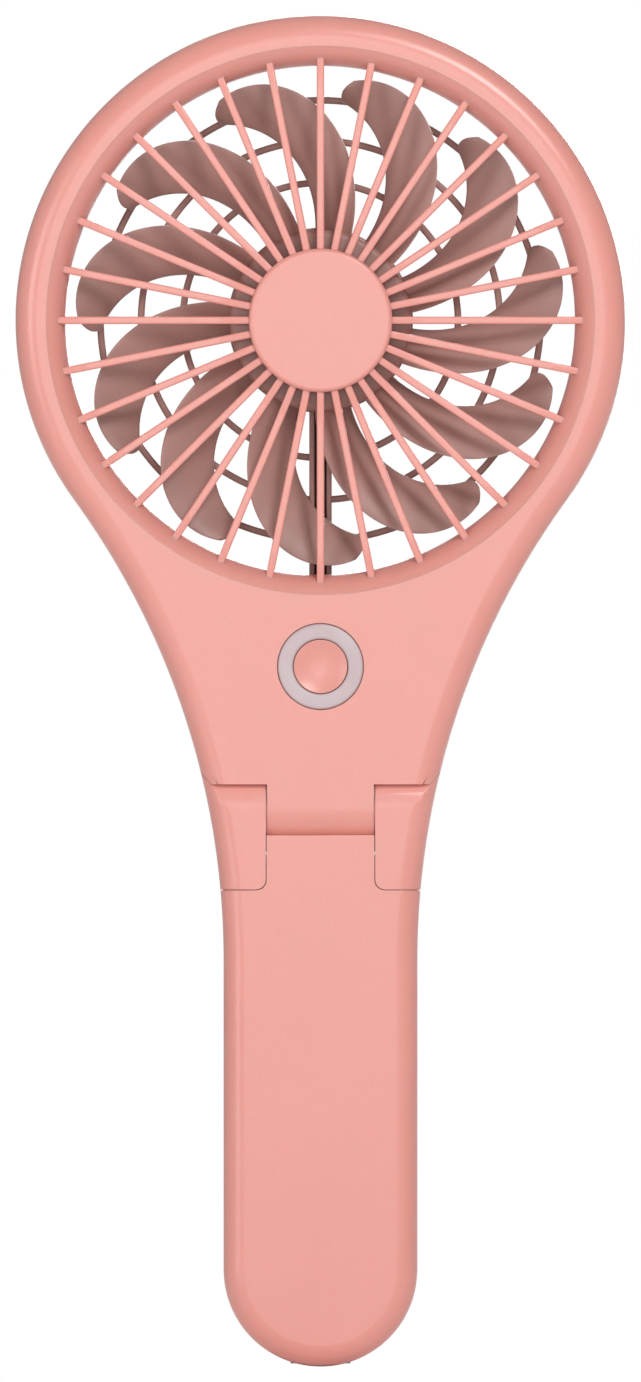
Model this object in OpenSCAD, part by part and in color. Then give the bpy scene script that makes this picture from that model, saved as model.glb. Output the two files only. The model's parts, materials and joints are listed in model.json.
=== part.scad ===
// Folding handheld fan: a round guarded head on a slim battery handle, joined by a friction hinge.
// The front of the fan faces -Y. Part profiles are drawn as (radius or width, forwardness).

/* [Head] */
// Outer radius of the round head
head_r = 48.8; // [47.5:0.1:50]
// Radius of the air opening at its narrowest
opening_r = 40.7; // [40:0.1:41]
// Radius of the crown's inner edge, where the front grille drops in
crown_r = 43.8; // [43.5:0.1:44]
// Height of the fan axis above the middle of the grip
fan_z = 122.4; // [121:0.1:124]

/* [Body] */
// Width of the handle
handle_w = 30; // [29:0.1:31]
// Distance from the middle of the grip down to the handle's tip
tip_drop = 45; // [44.5:0.1:46]
// Thickness of head and handle, front to back
body_t = 14.4; // [14:0.1:15]
// Radius of the rounded outer edges
edge_r = 3.5; // [3:0.1:3.6]
// Thickness of the moulded walls
wall = 1.6; // [1.4:0.1:1.8]

/* [Hinge] */
// Height of the fold axis above the middle of the grip
fold_z = 44.3; // [44:0.1:45]
// Radius of the hinge barrels
barrel_r = 7.2; // [7:0.1:7.2]
// Half the width of the head's hinge tongue
tongue_w = 8.54; // [8.4:0.02:8.6]
// Radius of the two hinge pins
pin_r = 2; // [1.9:0.05:2.1]

/* [Grilles] */
// Number of spokes in the front grille
spokes = 32; // [16:16:32]
// Width of a front spoke
spoke_w = 1.2; // [1:0.1:1.4]
// Radius of the centre cap
cap_r = 11.5; // [11:0.1:12]
// Number of ribs in the rear grille, each behind a front spoke
rear_ribs = 16; // [8:8:16]
// Width of the wire channel behind the blades
channel_w = 3.6; // [3.4:0.1:3.8]

/* [Rotor] */
// Number of blades
blades = 11; // [7:1:11]
// Outer radius of the rotor hub
hub_r = 14.5; // [14.3:0.1:14.7]
// Thickness of a blade
blade_t = 1.1; // [0.9:0.1:1.3]

/* [Button] */
// Height of the power button above the middle of the grip
button_z = 67; // [66.6:0.1:67.4]
// Outer radius of the light ring
ring_r = 6.9; // [6.8:0.05:7]
// Radius of the hole in the light ring
ring_hole_r = 4.4; // [4.3:0.05:4.5]

/* [Hidden] */
$fn = 96;
ht = body_t / 2;
hw = handle_w / 2;
end_z = hw - tip_drop;
side_wall = wall + 0.4;
face_in = ht - wall;
seam = 0.2;
slip = 0.05;
over = 1;
// Larger than the body, for blocks that trim it
far = 60;

// Concave flank: one arc tangent to the handle's side and to the round head
flank_z = 20.05;
flank_rise = fan_z - flank_z;
flank_r = (flank_rise * flank_rise + hw * hw - head_r * head_r) / (2 * (head_r - hw));
flank_x = hw + flank_r;
flank_a = atan2(flank_rise, flank_x);

// Hinge seams, measured from the fold axis
shoulder_up = 3.84;
sill_down = 4.3;
cover_z = 31.3;
cover_x = tongue_w + seam;
cover_corner = 1.6;
recess_r = barrel_r + 0.15;
rear_seam_z = fold_z + barrel_r + 0.1;
rear_sill_z = fold_z - recess_r;
ear_x = [tongue_w + 0.81, tongue_w + 2.06];
ear_r = 5.2;
// Foot that joins an ear to the back wall, just above the battery
ear_foot = [25.3, 30.5];
cover_in_x = 13.6;
cover_in_r = barrel_r - wall;
pin_in = 3;
pin_wall = 0.9;
pin_head = [3, 0.4];
washer_r = 4.4;
washer_x = tongue_w + 0.07;
washer_t = 0.68;
// Way for the lead through the hollow pin and up the tongue
lead_way = [-0.6, 1, 12];

// Screws: self-tapping, 2 mm
screw_r = 1;
screw_head_r = 1.9;
screw_head_t = 1.4;
screw_seat = 4.6;
screw_tip = 3.4;
cross_w = 0.5;
cross_d = 0.6;
boss_r = 2.3;
post_r = 3;
pilot_h = 5.5;
head_screw_at = [[-24, 80], [24, 80], [-13, 58], [13, 58]];
handle_screw_at = [[0, 31], [-9.5, -31.5], [9.5, -31.5]];
board_screw_at = [[-7, 58], [7, 58]];
board_screw_r = 0.75;

// Handle room: its top, the slot round the upper screw, and the pockets for the hinge ears
handle_room_z = 30;
upper_slot = [7.3, 35.2];
ear_pocket = [9, 13, 32];
slot_z = 29;

// Neck room: half widths at its bottom and from the level given third, and its bottom
neck_room = [16.5, 29, 84];
room_z = 54;

// Ring section, radii from the fan axis
lip_r = 45.4;
duct_r = [42.4, 43.8];
guard_ring_r = [40.9, 42.3];
slope_f = [6.9, 1.9];
skirt_f = 0.9;
grille_boss = [10.4, 4.7, 6.5];
cap_edge = 0.7;

// Rear guard
guard_ring_f = [-7, -4.4];
guard_out = 41.6;
channel_f = [-7.6, -4.2];
// Inside of the channel: its half width is half of channel_gap
channel_in = [-6.6, -3];
cup_r = 14.8;
cup_wall = 1.4;
cup_edge = 1.2;
cup_f = [-9.6, -8, -4.5];
guard_rings_at = [22, 28.7, 35.2];
guard_ring_w = 1.1;
guard_rib_w = 0.9;
guard_t = 1.6;
channel_gap = 1.9;

// Motor, forwardness from the mid-plane
hub_f = [3.4, 2, -3.9];
hub_wall = 1.5;
shaft_r = 1;
shaft_f = [2.8, -8.2];
bearing_r = 2.5;
tube_r = 3.5;
stator_r = 10;
board_f = [-4.6, -5.4];
lead_f = -4.9;
lead_r = 0.35;
lead_z = 75.5;
lead_bend = 1.4;

// Electronics
control_f = [1, 2];
control_x = 9;
control_z = [56, 76];
battery = [22, 9, 50];
battery_edge = 1.5;
battery_lead = [4, 2.1, 0.4];
charge_x = 6.5;
charge_y = [1.6, 2.6];
charge_z = [-40.8, -30];
supply_x = 12.4;
supply_r = 0.35;
// Socket: half width of its flat part, outer radius of its ends, wall, and depth
usb_w = 3.2;
usb_r = 1.6;
usb_wall = 0.3;
usb_h = 7.3;

body_pink = [0.945, 0.68, 0.643];
deep_pink = [0.66, 0.47, 0.44];
lens_grey = [0.8, 0.76, 0.78];
steel = [0.72, 0.73, 0.75];
copper = [0.75, 0.42, 0.22];
board_green = [0.1, 0.35, 0.22];
jacket_dark = [0.12, 0.12, 0.13];

// ---- placing ----
// Lays a drawing in the front view: its Z becomes forwardness
module facing() {
    rotate([90, 0, 0]) children();
}

// The same about the fan axis
module on_axis() {
    translate([0, 0, fan_z]) facing() children();
}

module both_sides() {
    children();
    mirror([1, 0, 0]) children();
}

// A bar across the hinge, from x0 to x1, drawn as a (y, z) section
module across(x0, x1) {
    translate([x0, 0, fold_z]) rotate([90, 0, 90]) linear_extrude(x1 - x0) children();
}

// Ring about the fan axis between two radii and two levels
module band(r0, r1, f0, f1) {
    on_axis() rotate_extrude() translate([r0, min(f0, f1)]) square([r1 - r0, abs(f1 - f0)]);
}

// ---- outline ----
// Front outline of the whole body, moved in by i
module outline(i) {
    t = [cos(flank_a), -sin(flank_a)] * (head_r - i);
    translate([0, fan_z]) circle(head_r - i);
    translate([0, end_z]) circle(hw - i);
    translate([i - hw, end_z]) square([2 * (hw - i), flank_z - end_z]);
    difference() {
        translate([-t[0], flank_z]) square([2 * t[0], flank_rise + t[1]]);
        for (s = [-1, 1]) translate([s * flank_x, flank_z]) circle(flank_r + i, $fn = 360);
    }
}

// Half the section of a slab w wide with a rounded outer edge
module slab_section(w) {
    square([w - edge_r, ht]);
    square([w, ht - edge_r]);
    translate([w - edge_r, ht - edge_r]) circle(edge_r);
}

// Spool that trims the concave flank and rounds both its edges
module flank_spool() {
    translate([flank_x, flank_z, 0]) rotate_extrude($fn = 360) difference() {
        translate([flank_r - far, -ht - over]) square([far + edge_r, body_t + 2 * over]);
        for (s = [-1, 1]) translate([flank_r + edge_r, s * (ht - edge_r)]) circle(edge_r);
        translate([flank_r, edge_r - ht]) square([2 * edge_r, body_t - 2 * edge_r]);
    }
}

// Half of the body, solid, with all its outer edges rounded
module half_slab() {
    p = [cos(flank_a), -sin(flank_a)] * far;
    translate([0, fan_z, 0]) rotate_extrude() slab_section(head_r);
    difference() {
        linear_extrude(ht) polygon([[-far / 2, flank_z], [far / 2, flank_z], [p[0], fan_z + p[1]],
            [0, fan_z], [-p[0], fan_z + p[1]]]);
        both_sides() flank_spool();
    }
    translate([0, flank_z, 0]) rotate([90, 0, 0]) linear_extrude(flank_z - end_z) {
        slab_section(hw);
        mirror([1, 0]) slab_section(hw);
    }
    translate([0, end_z, 0]) rotate_extrude(angle = 180, start = 180) slab_section(hw);
}

// ---- screws ----
module screw(at, shank_r, seat, flange_r, flange_t, tip) {
    cross_r = 0.6 * flange_r;
    translate([at[0], 0, at[1]]) facing() difference() {
        union() {
            translate([0, 0, -seat]) cylinder(r = shank_r, h = seat + tip);
            translate([0, 0, -seat - flange_t]) cylinder(r = flange_r, h = flange_t);
        }
        for (a = [0, 90]) rotate([0, 0, a]) translate([-cross_r, -cross_w / 2, -seat - flange_t - over])
            cube([2 * cross_r, cross_w, over + cross_d]);
    }
}

// Boss in a front shell, or post in a rear shell, for a 2 mm screw
module boss(at, r) {
    translate([at[0], 0, at[1]]) facing() cylinder(r = r, h = face_in + 0.2);
}

module pilot(at) {
    translate([at[0], 0, at[1]]) facing() translate([0, 0, -over]) cylinder(r = screw_r, h = pilot_h);
}

module screw_way(at) {
    translate([at[0], 0, at[1]]) facing() {
        translate([0, 0, -ht]) cylinder(r = screw_r + 0.15, h = ht + over);
        translate([0, 0, -ht - over]) cylinder(r = screw_head_r + 0.1, h = ht + over - screw_seat);
    }
}

// ---- leads ----
// The route with each inner corner turned into a short bend
function bent(route, r) = concat([route[0]],
    [for (k = [1 : 1 : len(route) - 2], t = [0 : 0.25 : 1])
        let (
            p = route[k],
            a = (route[k - 1] - p) / norm(route[k - 1] - p),
            b = (route[k + 1] - p) / norm(route[k + 1] - p)
        ) p + r * (pow(1 - t, 2) * a + t * t * b)],
    [route[len(route) - 1]]);

function unit(v) = v / norm(v);

// Round lead swept along a route
module lead(route, r) {
    sides = 8;
    path = bent(route, lead_bend);
    last = len(path) - 1;
    side = [0.31, 0.87, 0.38];
    rings = [for (k = [0 : last])
        let (
            way = unit(path[min(k + 1, last)] - path[max(k - 1, 0)]),
            u = unit(cross(way, side)),
            v = cross(way, u)
        ) for (q = [0 : sides - 1])
            path[k] + r * (cos(q * 360 / sides) * u + sin(q * 360 / sides) * v)];
    polyhedron(points = rings, faces = concat(
        [[for (q = [0 : sides - 1]) q]],
        [for (k = [0 : last - 1], q = [0 : sides - 1])
            [k * sides + q, (k + 1) * sides + q, (k + 1) * sides + (q + 1) % sides,
             k * sides + (q + 1) % sides]],
        [[for (q = [sides - 1 : -1 : 0]) last * sides + q]]));
}

// ---- handle ----
// Room inside either half of the handle
module handle_room() {
    facing() translate([0, 0, -over]) linear_extrude(face_in + over) intersection() {
        outline(side_wall);
        translate([-hw, -tip_drop]) square([handle_w, tip_drop + handle_room_z]);
    }
    translate([-upper_slot[0], -face_in, slot_z])
        cube([2 * upper_slot[0], face_in + over, upper_slot[1] - slot_z]);
    both_sides() translate([ear_pocket[0], -face_in, slot_z])
        cube([ear_pocket[1] - ear_pocket[0], face_in + over, ear_pocket[2] - slot_z]);
}

// Everything above a level
module above(z) {
    translate([-far, -far / 2, z]) cube([2 * far, far, 4 * far]);
}

module below(z) {
    translate([-far, -far / 2, z - 2 * far]) cube([2 * far, far, 2 * far]);
}

// Space taken by the two hinge covers
module cover_space(gap) {
    x = cover_x - gap;
    both_sides() translate([0, ht + over, 0]) facing() linear_extrude(body_t + 2 * over) {
        translate([x + cover_corner, cover_z - gap]) square(far / 2);
        translate([x, cover_z - gap + cover_corner]) square(far / 2);
        translate([x + cover_corner, cover_z - gap + cover_corner]) circle(cover_corner);
    }
}

// Section of the socket, moved out by grow
module socket_section(grow) {
    translate([-usb_w, -usb_r - grow]) square([2 * usb_w, 2 * (usb_r + grow)]);
    for (s = [-1, 1]) translate([s * usb_w, 0]) circle(usb_r + grow);
}

module socket_slot(gap) {
    translate([0, 0, -tip_drop - over]) linear_extrude(usb_h + over + 1.1) socket_section(gap);
}

module handle_front_shell() {
    color(body_pink) difference() {
        union() {
            difference() {
                facing() half_slab();
                handle_room();
                above(fold_z - sill_down);
                cover_space(0.1);
                across(-cover_x, cover_x) circle(recess_r);
            }
            for (at = handle_screw_at) boss(at, boss_r);
        }
        for (at = handle_screw_at) pilot(at);
        socket_slot(0.1);
    }
}

module handle_rear_shell() {
    color(body_pink) difference() {
        union() {
            difference() {
                mirror([0, 1, 0]) facing() half_slab();
                mirror([0, 1, 0]) handle_room();
                above(rear_sill_z);
                cover_space(0.1);
            }
            for (at = handle_screw_at) mirror([0, 1, 0]) boss(at, post_r);
            both_sides() hinge_ear();
        }
        for (at = handle_screw_at) screw_way(at);
        across(-hw, hw) circle(pin_r);
        socket_slot(0.1);
    }
}

// Plate that carries a hinge pin beside the tongue
module hinge_ear() {
    across(ear_x[0], ear_x[1]) {
        circle(ear_r);
        translate([-ear_r, ear_foot[0] - fold_z]) square([2 * ear_r, fold_z - ear_foot[0]]);
    }
    translate([ear_x[0], 0, ear_foot[0]])
        cube([ear_x[1] - ear_x[0], face_in + 0.2, ear_foot[1] - ear_foot[0]]);
}

module hinge_cover() {
    difference() {
        intersection() {
            across(0, far / 2) {
                circle(barrel_r);
                translate([-barrel_r, cover_z - fold_z]) square([2 * barrel_r, fold_z - cover_z]);
            }
            cover_space(0);
            translate([0, -far / 2, 0]) cube([far, far, 2 * far]);
        }
        facing() flank_spool();
        across(0, cover_in_x) {
            circle(cover_in_r);
            translate([-cover_in_r, -far / 2]) square([2 * cover_in_r, far / 2]);
        }
    }
}

module left_hinge_cover() {
    color(body_pink) mirror([1, 0, 0]) hinge_cover();
}

module right_hinge_cover() {
    color(body_pink) hinge_cover();
}

module hinge_pin() {
    difference() {
        union() {
            across(pin_in, ear_x[1]) circle(pin_r);
            across(ear_x[1], ear_x[1] + pin_head[1]) circle(pin_head[0]);
        }
        across(0, hw) circle(pin_r - pin_wall);
    }
}

module left_hinge_pin() {
    color(steel) mirror([1, 0, 0]) hinge_pin();
}

module right_hinge_pin() {
    color(steel) hinge_pin();
}

module hinge_washers() {
    color(steel) both_sides() across(washer_x, washer_x + washer_t) difference() {
        circle(washer_r);
        circle(pin_r + slip);
    }
}

module handle_screws() {
    color(steel) for (at = handle_screw_at)
        screw(at, screw_r, screw_seat, screw_head_r, screw_head_t, screw_tip);
}

module battery_cell() {
    r = battery_edge;
    color([0.55, 0.6, 0.66]) translate([0, 0, -battery[2] / 2]) linear_extrude(battery[2]) {
        square([battery[0], battery[1] - 2 * r], center = true);
        square([battery[0] - 2 * r, battery[1]], center = true);
        for (x = [-1, 1], y = [-1, 1])
            translate([x * (battery[0] / 2 - r), y * (battery[1] / 2 - r)]) circle(r);
    }
}

module battery_leads() {
    color(jacket_dark) for (s = [-1, 1]) translate([s * battery_lead[0], battery_lead[1], charge_z[1]])
        cylinder(r = battery_lead[2], h = -battery[2] / 2 - charge_z[1]);
}

module charge_board() {
    color(board_green) translate([-charge_x, charge_y[0], charge_z[0]])
        cube([2 * charge_x, charge_y[1] - charge_y[0], charge_z[1] - charge_z[0]]);
    // charge controller and its inductor
    color(jacket_dark) {
        translate([-2, charge_y[1], -36]) cube([4, 1, 4]);
        translate([-5.5, charge_y[1], -40]) cube([3.5, 1.6, 3.5]);
    }
}

module usb_socket() {
    color(steel) difference() {
        translate([0, 0, -tip_drop + 0.5]) linear_extrude(usb_h) socket_section(0);
        translate([0, 0, -tip_drop - over]) linear_extrude(usb_h) socket_section(-usb_wall);
    }
    color(jacket_dark) translate([-usb_w, -0.35, -tip_drop + 1.5]) cube([2 * usb_w, 0.7, 5]);
}

module supply_lead() {
    y = 2.1;
    low = -27;
    color(jacket_dark) lead([[-5.6, y, charge_z[1]], [-5.6, y, low], [-supply_x, y, low],
        [-supply_x, y, 30], [-supply_x, 0, 38], [-supply_x, 0, fold_z], [-1.2, 0, fold_z]], supply_r);
}

// ---- head ----
// Room inside the neck and ring, outside radius r
module head_room(r) {
    facing() translate([0, 0, -over]) linear_extrude(face_in + over) difference() {
        union() {
            translate([0, fan_z]) circle(head_r - side_wall);
            polygon([[-neck_room[0], room_z], [neck_room[0], room_z], [neck_room[1], neck_room[2]],
                [neck_room[1], 90], [-neck_room[1], 90], [-neck_room[1], neck_room[2]]]);
        }
        translate([0, fan_z]) circle(r);
    }
}

module head_front_shell() {
    color(body_pink) difference() {
        union() {
            difference() {
                facing() half_slab();
                head_room(lip_r);
                below(fold_z + shoulder_up);
                across(-far, far) circle(recess_r);
            }
            across(-tongue_w, tongue_w) {
                circle(barrel_r);
                translate([-barrel_r, 0]) square([2 * barrel_r, rear_seam_z - fold_z - 0.1]);
            }
            for (at = head_screw_at) boss(at, boss_r);
            for (at = board_screw_at) translate([at[0], -control_f[1], at[1]]) facing()
                cylinder(r = 1.6, h = face_in + 0.2 - control_f[1]);
        }
        for (at = head_screw_at) pilot(at);
        for (at = board_screw_at) translate([at[0], 0, at[1]]) facing()
            cylinder(r = board_screw_r, h = 5);
        on_axis() translate([0, 0, -over]) cylinder(r = crown_r + 0.1, h = ht + 2 * over);
        translate([0, 0, button_z]) facing() cylinder(r = ring_r + 0.05, h = ht + over);
        across(-hw, hw) circle(pin_r + slip);
        translate([0, lead_way[0], fold_z]) cylinder(r = lead_way[1], h = lead_way[2]);
    }
}

module head_rear_shell() {
    color(body_pink) difference() {
        union() {
            difference() {
                mirror([0, 1, 0]) facing() half_slab();
                mirror([0, 1, 0]) head_room(duct_r[1]);
                below(rear_seam_z);
            }
            for (at = head_screw_at) mirror([0, 1, 0]) boss(at, post_r);
        }
        for (at = head_screw_at) screw_way(at);
        on_axis() translate([0, 0, -ht - over]) cylinder(r = duct_r[0], h = ht + 2 * over);
        lead_notch();
    }
}

// Way for the motor leads through the rear ring
module lead_notch() {
    translate([-channel_gap / 2, 4, fan_z - 44.5]) cube([channel_gap, 1.5, 6]);
}

module head_screws() {
    color(steel) for (at = head_screw_at)
        screw(at, screw_r, screw_seat, screw_head_r, screw_head_t, screw_tip);
}

// ---- front grille ----
module front_grille() {
    slope_run = crown_r - 0.2 - opening_r;
    color(body_pink) on_axis() {
        rotate_extrude() polygon([[crown_r - 0.2, slope_f[0]], [opening_r, slope_f[1]],
            [opening_r, skirt_f], [opening_r + 1.3, skirt_f], [opening_r + 1.3, 2.4],
            [crown_r, 5.2], [crown_r, slope_f[0]]]);
        for (k = [0 : spokes - 1]) rotate([0, 0, k * 360 / spokes]) rotate([90, 0, 0])
            translate([0, 0, -spoke_w / 2]) linear_extrude(spoke_w) polygon([[9, 6.5], [11.6, 6.4],
                [16, 5.9], [38.4, 5.9], [40.4, 5.5], [42.9, 4.3],
                [42.9, 3.7], [40.4, 4], [38.4, 4.3], [16, 4.3], [11.6, 4.7], [9, 4.7]]);
        translate([0, 0, grille_boss[1]])
            cylinder(r = grille_boss[0], h = grille_boss[2] - grille_boss[1]);
    }
}

module grille_cap() {
    r = cap_edge;
    color(body_pink) on_axis() rotate_extrude() {
        translate([0, grille_boss[2]]) square([cap_r - r, ht - grille_boss[2]]);
        translate([cap_r - r, grille_boss[2]]) intersection() {
            circle(r);
            square(r);
        }
    }
}

// ---- rear grille ----
// Middle level of the rear guard at radius r
function guard_level(r) = -7.9 + 1.5 * pow(r / 42, 2);

module guard_rib(w) {
    start = cup_r - 0.8;
    r = [for (k = [0 : 6]) start + k * (guard_out - start) / 6];
    rotate([90, 0, 0]) translate([0, 0, -w / 2]) linear_extrude(w) polygon(concat(
        [for (x = r) [x, guard_level(x) + guard_t / 2]],
        [for (k = [6 : -1 : 0]) [r[k], guard_level(r[k]) - guard_t / 2]]));
}

module rear_grille() {
    color(deep_pink) difference() {
        on_axis() {
            rotate_extrude() translate([guard_ring_r[0], guard_ring_f[0]])
                square([guard_ring_r[1] - guard_ring_r[0], guard_ring_f[1] - guard_ring_f[0]]);
            for (r = guard_rings_at) rotate_extrude()
                translate([r - guard_ring_w / 2, guard_level(r) - guard_t / 2])
                    square([guard_ring_w, guard_t]);
            for (k = [0 : rear_ribs - 1]) rotate([0, 0, k * 360 / rear_ribs]) guard_rib(guard_rib_w);
            // wire channel down to the neck
            translate([-channel_w / 2, -guard_out, channel_f[0]])
                cube([channel_w, guard_out - cup_r + 0.8, channel_f[1] - channel_f[0]]);
            // motor cup, its outer edge rounded
            rotate_extrude() {
                translate([0, cup_f[0]]) square([cup_r - cup_edge, cup_f[1] - cup_f[0]]);
                translate([cup_r - cup_wall, cup_f[0] + cup_edge])
                    square([cup_wall, cup_f[2] - cup_f[0] - cup_edge]);
                translate([cup_r - cup_edge, cup_f[0] + cup_edge]) circle(cup_edge);
            }
            translate([0, 0, cup_f[0] + 0.2]) cylinder(r = tube_r, h = 10);
        }
        on_axis() translate([0, 0, -8.9]) cylinder(r = bearing_r, h = 20);
        translate([-channel_gap / 2, -channel_in[1], fan_z - 44.5])
            cube([channel_gap, channel_in[1] - channel_in[0], 44.5 - 12]);
    }
}

// ---- motor ----
module sleeve_bearing() {
    color([0.7, 0.55, 0.3]) band(shaft_r + 0.03, bearing_r, 0.3, -7);
}

module stator_core() {
    arms = 4;
    color(steel) on_axis() translate([0, 0, -2.6]) linear_extrude(3) difference() {
        union() {
            circle(tube_r + 1.6);
            for (k = [0 : arms - 1]) rotate(k * 360 / arms) {
                translate([0, -1.3]) square([stator_r - 0.6, 2.6]);
                intersection() {
                    difference() {
                        circle(stator_r);
                        circle(stator_r - 1.4);
                    }
                    translate([0, -5.6]) square([stator_r, 11.2]);
                }
            }
        }
        circle(tube_r + slip);
    }
}

module stator_coils() {
    color(copper) on_axis() for (k = [0 : 3]) rotate([0, 0, k * 90])
        difference() {
            translate([tube_r + 1.9, -2.5, -3.6]) cube([2.8, 5, 5]);
            translate([tube_r, -1.3, -2.6]) cube([8, 2.6, 3]);
        }
}

module driver_board() {
    color(board_green) difference() {
        band(tube_r, 11.8, board_f[1], board_f[0]);
        translate([-channel_gap / 2, -over, fan_z - 20]) cube([channel_gap, 20, 20 - 11.2]);
    }
    color(jacket_dark) on_axis() translate([5, 3, board_f[1] - 1]) cube([3.5, 2.6, 1]);
}

module motor_leads() {
    color(jacket_dark) for (x = [-0.45, 0.45])
        lead([[x, -lead_f, fan_z - 11.2], [x, -lead_f, lead_z], [x, -control_f[0], lead_z]], lead_r);
}

// ---- control electronics ----
module control_board() {
    color(board_green) difference() {
        translate([-control_x, -control_f[1], control_z[0]])
            cube([2 * control_x, control_f[1] - control_f[0], control_z[1] - control_z[0]]);
        for (at = board_screw_at) translate([at[0], 0, at[1]]) facing()
            cylinder(r = board_screw_r + 0.1, h = 4);
    }
    color(jacket_dark) translate([-3, -control_f[0], 62]) cube([6, 1, 5]);
}

module board_screws() {
    color(steel) for (at = board_screw_at)
        screw(at, board_screw_r, -control_f[0], 2 * board_screw_r, 0.8, 4.8);
}

module control_lead() {
    color(jacket_dark) lead([[0, lead_way[0], fold_z + 1], [0, lead_way[0], fold_z + 15]], supply_r);
}

module led_chips() {
    count = 6;
    color([0.95, 0.93, 0.8]) translate([0, 0, button_z]) facing()
        for (k = [0 : count - 1]) rotate([0, 0, 30 + k * 360 / count])
            translate([5.6, 0, control_f[1] + 0.35]) cube([0.8, 1.6, 0.7], center = true);
}

module light_ring() {
    color(lens_grey) translate([0, 0, button_z]) facing() rotate_extrude() {
        translate([ring_hole_r, 5]) square([ring_r - ring_hole_r, ht - 0.4 - 5]);
        translate([ring_hole_r + 0.4, 5]) square([ring_r - ring_hole_r - 0.8, ht - 5]);
        translate([ring_hole_r, 5]) square([7.7 - ring_hole_r, 0.55]);
    }
}

module switch_body() {
    color(jacket_dark) difference() {
        translate([-3, -3.4, button_z - 3]) cube([6, 3.4 - control_f[1], 6]);
        translate([0, 0, button_z]) facing() translate([0, 0, 2.4]) cylinder(r = 1.7, h = 2);
    }
}

// ---- rotor ----
// Cubic curve through control points given as [radius, clockwise angle seen from the front]
function curve(c, t) = pow(1 - t, 3) * c[0] + 3 * pow(1 - t, 2) * t * c[1]
    + 3 * (1 - t) * t * t * c[2] + t * t * t * c[3];
blade_back_edge = [[13.6, 53], [18, 52], [43.5, 31.7], [38.7, 8]];
blade_lead_edge = [[13.6, 29], [19.9, 32.8], [31.3, 20.6], [35, 5.8]];
blade_rows = 14;
blade_cols = 5;

// Point of the blade's middle surface: u runs hub to tip, v from leading to back edge
function blade_point(u, v, side) =
    let (
        a = curve(blade_lead_edge, u),
        b = curve(blade_back_edge, u),
        tip = 0.9 * sin(180 * v) * max(0, u - 0.93) / 0.07,
        r = a[0] + (b[0] - a[0]) * v,
        t = a[1] + (b[1] - a[1]) * v - tip * 57.3 / r,
        pitch = 2.9 - 1.1 * u,
        f = -0.35 + pitch * (2 * v - 1) + 0.55 * sin(180 * v)
    ) [r * sin(t), r * cos(t), f + side * blade_t / 2];

module blade() {
    n = blade_cols + 1;
    m = blade_rows + 1;
    top = [for (i = [0 : blade_rows], j = [0 : blade_cols])
        blade_point(i / blade_rows, j / blade_cols, 1)];
    bottom = [for (i = [0 : blade_rows], j = [0 : blade_cols])
        blade_point(i / blade_rows, j / blade_cols, -1)];
    rim = concat([for (j = [0 : blade_cols]) j],
        [for (i = [1 : blade_rows]) i * n + blade_cols],
        [for (j = [blade_cols - 1 : -1 : 0]) blade_rows * n + j],
        [for (i = [blade_rows - 1 : -1 : 1]) i * n]);
    faces = concat(
        [for (i = [0 : blade_rows - 1], j = [0 : blade_cols - 1], h = [0, 1]) let (p = i * n + j)
            h == 0 ? [p, p + n, p + 1] : [p + 1, p + n, p + n + 1]],
        [for (i = [0 : blade_rows - 1], j = [0 : blade_cols - 1], h = [0, 1]) let (p = n * m + i * n + j)
            h == 0 ? [p, p + 1, p + n] : [p + 1, p + n + 1, p + n]],
        [for (k = [0 : len(rim) - 1], h = [0, 1]) let (a = rim[k], b = rim[(k + 1) % len(rim)])
            h == 0 ? [a, b, a + n * m] : [b, b + n * m, a + n * m]]);
    polyhedron(points = concat(top, bottom), faces = faces);
}

module fan_rotor() {
    r = 1;
    color(deep_pink) difference() {
        on_axis() {
            rotate_extrude() {
                translate([0, hub_f[1]]) square([hub_r - r, hub_f[0] - hub_f[1]]);
                translate([hub_r - r, hub_f[0] - r]) circle(r);
                translate([hub_r - hub_wall, hub_f[2]]) square([hub_wall, hub_f[0] - r - hub_f[2]]);
            }
            translate([0, 0, 0.9]) cylinder(r = 2.4, h = 1.5);
            for (k = [0 : blades - 1]) rotate([0, 0, -k * 360 / blades]) blade();
        }
        on_axis() translate([0, 0, -3]) cylinder(r = shaft_r, h = 3 + shaft_f[0]);
    }
}

module motor_shaft() {
    color(steel) on_axis() difference() {
        translate([0, 0, shaft_f[1]]) cylinder(r = shaft_r, h = shaft_f[0] - shaft_f[1]);
        // groove for the clip
        translate([0, 0, -7.7]) rotate_extrude() translate([0.75, 0]) square([1, 0.4]);
    }
}

module rotor_yoke() {
    color(steel) band(hub_r - hub_wall - 0.8, hub_r - hub_wall, 1.4, -3.7);
}

module magnet_ring() {
    color([0.2, 0.2, 0.22]) band(10.8, hub_r - hub_wall - 0.8, 1.2, -3.5);
}

module shaft_clip() {
    color([0.9, 0.9, 0.85]) on_axis() translate([0, 0, -7.7]) linear_extrude(0.4) difference() {
        circle(2.1);
        circle(0.75);
        translate([0.4, -0.4]) square([3, 0.8]);
    }
}

// ---- button ----
module power_button() {
    face_r = ring_hole_r - 0.1;
    dish_r = 14;
    color(body_pink) translate([0, 0, button_z]) facing() difference() {
        union() {
            translate([0, 0, 4.3]) cylinder(r = face_r, h = 6.9 - 4.3);
            translate([0, 0, 4.3]) cylinder(r = face_r + 0.8, h = 0.5);
            translate([0, 0, 3.9]) cylinder(r = 1.5, h = 0.6);
        }
        translate([0, 0, 6.3 + dish_r]) sphere(dish_r);
    }
}

module switch_plunger() {
    color([0.85, 0.83, 0.78]) translate([0, 0, button_z]) facing()
        translate([0, 0, 3]) cylinder(r = 1.6, h = 0.9);
}

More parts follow.
